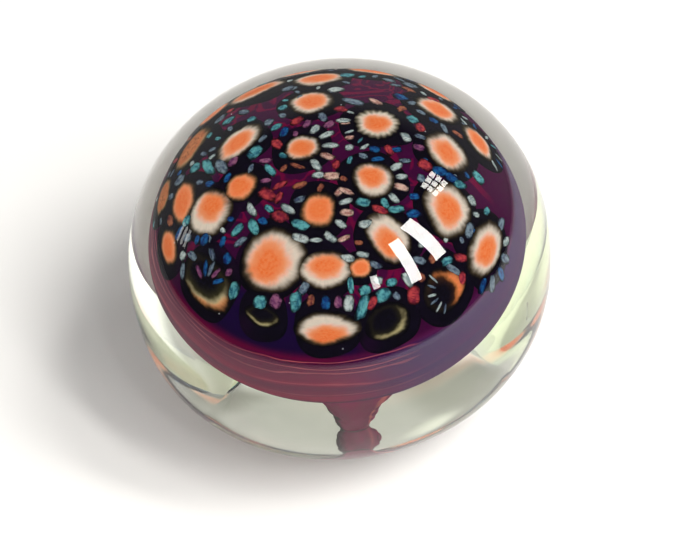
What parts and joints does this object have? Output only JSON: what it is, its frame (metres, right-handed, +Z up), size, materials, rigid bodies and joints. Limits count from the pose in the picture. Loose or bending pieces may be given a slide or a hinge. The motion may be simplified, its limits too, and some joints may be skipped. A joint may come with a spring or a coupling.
{
  "type": "paperweight",
  "caption": "Squashed-ball glass paperweight: a mushroom of dark glass set with flower canes on a short ragged stem, inside thick clear glass with a flat base.",
  "frame": {"origin": "centre of the flat base, on the surface it rests on", "axes": "+Z up through the crown, which is the axis of the clear body; -Y towards the side the stem and the big front flower show on; +X to the right seen from there"},
  "size_m": [0.078, 0.078, 0.0565],
  "materials": {
    "clear_glass": "clear, polished, faint green-yellow tint",
    "aubergine_glass": "opaque, deep aubergine",
    "stem_glass": "opaque, washed-out aubergine, torn edges",
    "black_casing_glass": "opaque, near black, canes' casings run together",
    "orange_glass": "opaque orange cane core",
    "orange_cream_glass": "opaque orange core in a cream ring",
    "cream_glass": "opaque cream, olive edged",
    "teal_glass": "opaque teal slip",
    "blue_glass": "opaque blue slip",
    "grey_glass": "opaque pale grey slip",
    "red_glass": "opaque red slip",
    "mauve_glass": "opaque mauve slip"
  },
  "bodies": {
    "root": {"clear_encasement": "clear_glass", "aubergine_ground": "aubergine_glass", "aubergine_stem": "stem_glass", "casing_bed": "black_casing_glass", "flower_cane_01": "orange_glass", "flower_cane_02": "orange_cream_glass", "flower_cane_03": "orange_cream_glass", "flower_cane_04": "orange_glass", "flower_cane_05": "orange_glass", "flower_cane_06": "orange_cream_glass", "flower_cane_07": "orange_cream_glass", "flower_cane_08": "orange_cream_glass", "flower_cane_09": "orange_cream_glass", "flower_cane_10": "orange_cream_glass", "flower_cane_11": "orange_glass", "flower_cane_12": "orange_cream_glass", "flower_cane_13": "orange_cream_glass", "flower_cane_14": "orange_cream_glass", "flower_cane_15": "orange_cream_glass", "flower_cane_16": "orange_cream_glass", "flower_cane_17": "orange_glass", "flower_cane_18": "orange_cream_glass", "flower_cane_19": "orange_cream_glass", "flower_cane_20": "orange_cream_glass", "flower_cane_21": "orange_cream_glass", "flower_cane_22": "orange_cream_glass", "flower_cane_23": "orange_glass", "flower_cane_24": "cream_glass", "flower_cane_25": "orange_cream_glass", "flower_cane_26": "orange_cream_glass", "flower_cane_27": "cream_glass", "flower_cane_28": "orange_cream_glass", "flower_cane_29": "orange_glass", "flower_cane_30": "orange_cream_glass", "flower_cane_31": "orange_glass", "flower_cane_32": "orange_cream_glass", "colour_slip_01_teal": "teal_glass", "colour_slip_02_grey": "grey_glass", "colour_slip_03_mauve": "mauve_glass", "colour_slip_04_teal": "teal_glass", "colour_slip_05_teal": "teal_glass", "colour_slip_06_grey": "grey_glass", "colour_slip_07_blue": "blue_glass", "colour_slip_08_blue": "blue_glass", "colour_slip_09_red": "red_glass", "colour_slip_10_red": "red_glass", "colour_slip_11_red": "red_glass", "colour_slip_12_teal": "teal_glass", "colour_slip_13_grey": "grey_glass", "colour_slip_14_grey": "grey_glass", "colour_slip_15_blue": "blue_glass", "colour_slip_16_grey": "grey_glass"}
  },
  "joints": []
}
